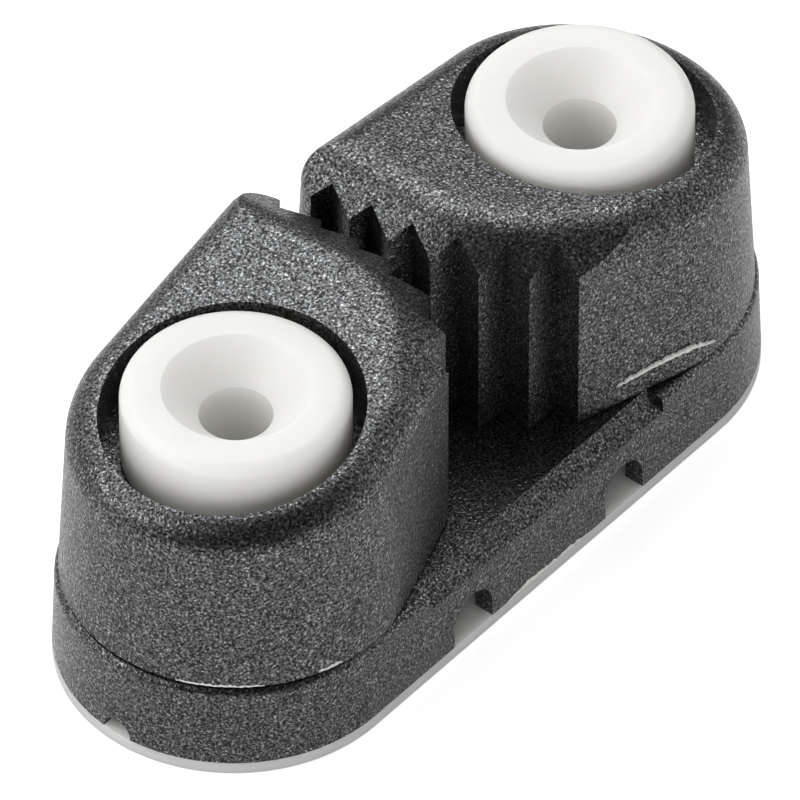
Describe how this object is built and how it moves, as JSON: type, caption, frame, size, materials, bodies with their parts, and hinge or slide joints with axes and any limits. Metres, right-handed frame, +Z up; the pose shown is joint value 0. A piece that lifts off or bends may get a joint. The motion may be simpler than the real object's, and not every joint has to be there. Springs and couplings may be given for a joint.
{
  "type": "cam cleat",
  "caption": "Rope cam cleat: sprung toothed cams turn on countersunk bushes over a low stadium base, and grip a line pulled between them.",
  "frame": {"origin": "midway between the two screw holes, on the underside of the plate", "axes": "+X from the left to the right screw hole, +Y the way the rope is pulled through to be held free, +Z up out of the deck"},
  "size_m": [0.0646, 0.0269, 0.0255],
  "materials": {
    "plate_white": "satin moulded",
    "base_nylon": "fine speckled moulding texture",
    "bush_acetal": "smooth satin",
    "cam_nylon": "glass-filled nylon with a speckled moulding texture",
    "spring_steel": "drawn stainless wire"
  },
  "bodies": {
    "body": {"plate": "plate_white", "base": "base_nylon", "left_bush": "bush_acetal", "right_bush": "bush_acetal", "left_spring": "spring_steel", "right_spring": "spring_steel"},
    "cam_left": {"left_cam": "cam_nylon"},
    "cam_right": {"right_cam": "cam_nylon"}
  },
  "joints": [
    {"name": "left_cam_turn", "type": "hinge", "parent": "body", "child": "cam_left", "pos_m": [-0.019, 0, 0.0137], "axis": [0, 0, 1], "range_deg": [0, 50], "stiffness_Nm_per_rad": 0.06, "springref_deg": -34.38, "deforming": ["left_spring"]},
    {"name": "right_cam_turn", "type": "hinge", "parent": "body", "child": "cam_right", "pos_m": [0.019, 0, 0.0137], "axis": [0, 0, -1], "range_deg": [0, 50], "stiffness_Nm_per_rad": 0.06, "springref_deg": -34.38, "deforming": ["right_spring"]}
  ]
}
